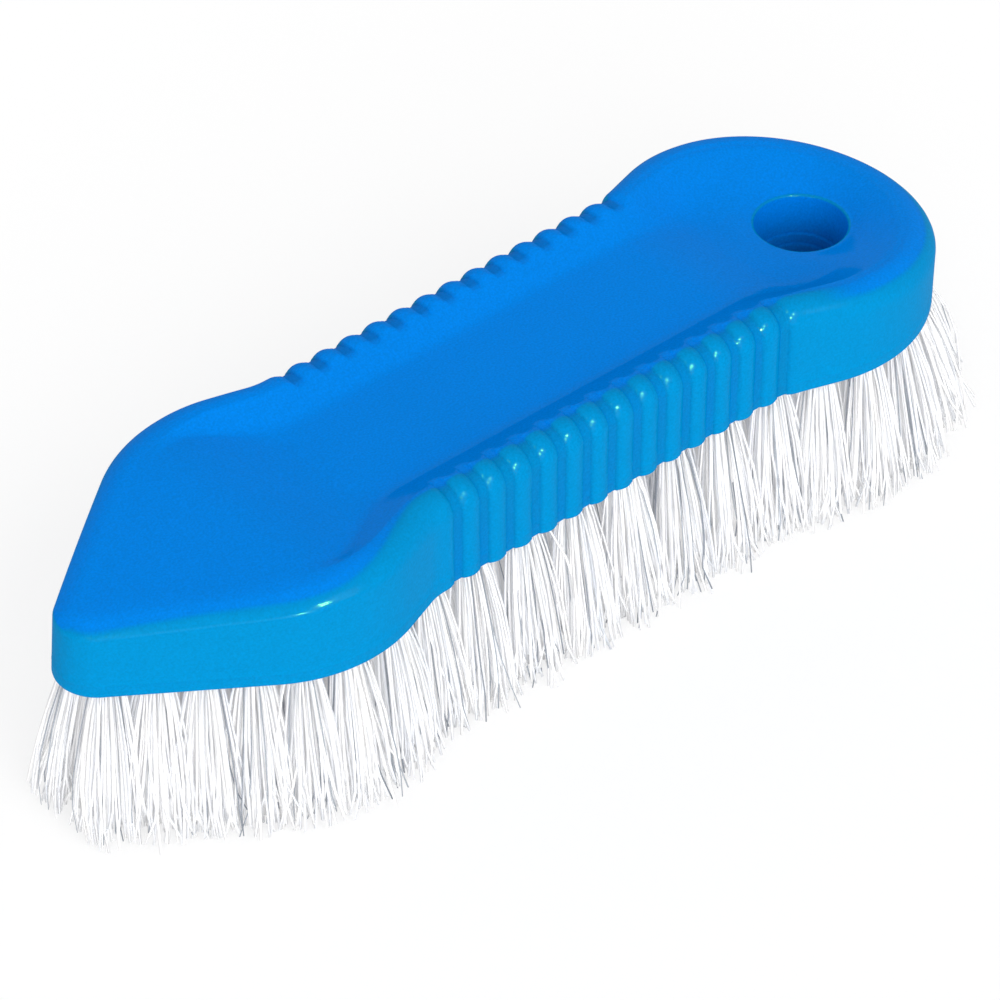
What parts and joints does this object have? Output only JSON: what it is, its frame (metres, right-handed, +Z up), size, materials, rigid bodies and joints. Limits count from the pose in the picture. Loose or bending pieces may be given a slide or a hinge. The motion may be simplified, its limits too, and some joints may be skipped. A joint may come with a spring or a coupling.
{
  "type": "hand scrub brush",
  "caption": "Hand scrub brush: moulded block with a pointed nose, grooved waist, dished top, a hanging hole in its round tail, and separate fanned bristle tufts set in its underside.",
  "frame": {"origin": "middle of the bounding box, on the plane of the bristle tips that the brush stands on", "axes": "+X along the block towards its round tail and hanging hole, +Y across it, +Z up from the bristle tips to the block"},
  "size_m": [0.211, 0.0721, 0.0518],
  "materials": {
    "block": "satin",
    "bristle": "satin"
  },
  "bodies": {
    "root": {"handle_block": "block", "tuft_rim_left_01": "bristle", "tuft_rim_left_02": "bristle", "tuft_rim_left_03": "bristle", "tuft_rim_left_04": "bristle", "tuft_rim_left_05": "bristle", "tuft_rim_left_06": "bristle", "tuft_rim_left_07": "bristle", "tuft_rim_left_08": "bristle", "tuft_rim_left_09": "bristle", "tuft_rim_left_10": "bristle", "tuft_rim_left_11": "bristle", "tuft_rim_left_12": "bristle", "tuft_rim_left_13": "bristle", "tuft_rim_left_14": "bristle", "tuft_rim_left_15": "bristle", "tuft_rim_left_16": "bristle", "tuft_rim_left_17": "bristle", "tuft_rim_left_18": "bristle", "tuft_rim_left_19": "bristle", "tuft_rim_left_20": "bristle", "tuft_rim_right_01": "bristle", "tuft_rim_right_02": "bristle", "tuft_rim_right_03": "bristle", "tuft_rim_right_04": "bristle", "tuft_rim_right_05": "bristle", "tuft_rim_right_06": "bristle", "tuft_rim_right_07": "bristle", "tuft_rim_right_08": "bristle", "tuft_rim_right_09": "bristle", "tuft_rim_right_10": "bristle", "tuft_rim_right_11": "bristle", "tuft_rim_right_12": "bristle", "tuft_rim_right_13": "bristle", "tuft_rim_right_14": "bristle", "tuft_rim_right_15": "bristle", "tuft_rim_right_16": "bristle", "tuft_rim_right_17": "bristle", "tuft_rim_right_18": "bristle", "tuft_rim_right_19": "bristle", "tuft_rim_right_20": "bristle", "tuft_tail": "bristle", "tuft_inner_left_01": "bristle", "tuft_inner_left_02": "bristle", "tuft_inner_left_03": "bristle", "tuft_inner_left_04": "bristle", "tuft_inner_left_05": "bristle", "tuft_inner_left_06": "bristle", "tuft_inner_left_07": "bristle", "tuft_inner_left_08": "bristle", "tuft_inner_left_09": "bristle", "tuft_inner_right_01": "bristle", "tuft_inner_right_02": "bristle", "tuft_inner_right_03": "bristle", "tuft_inner_right_04": "bristle", "tuft_inner_right_05": "bristle", "tuft_inner_right_06": "bristle", "tuft_inner_right_07": "bristle", "tuft_inner_right_08": "bristle", "tuft_inner_right_09": "bristle"}
  },
  "joints": []
}
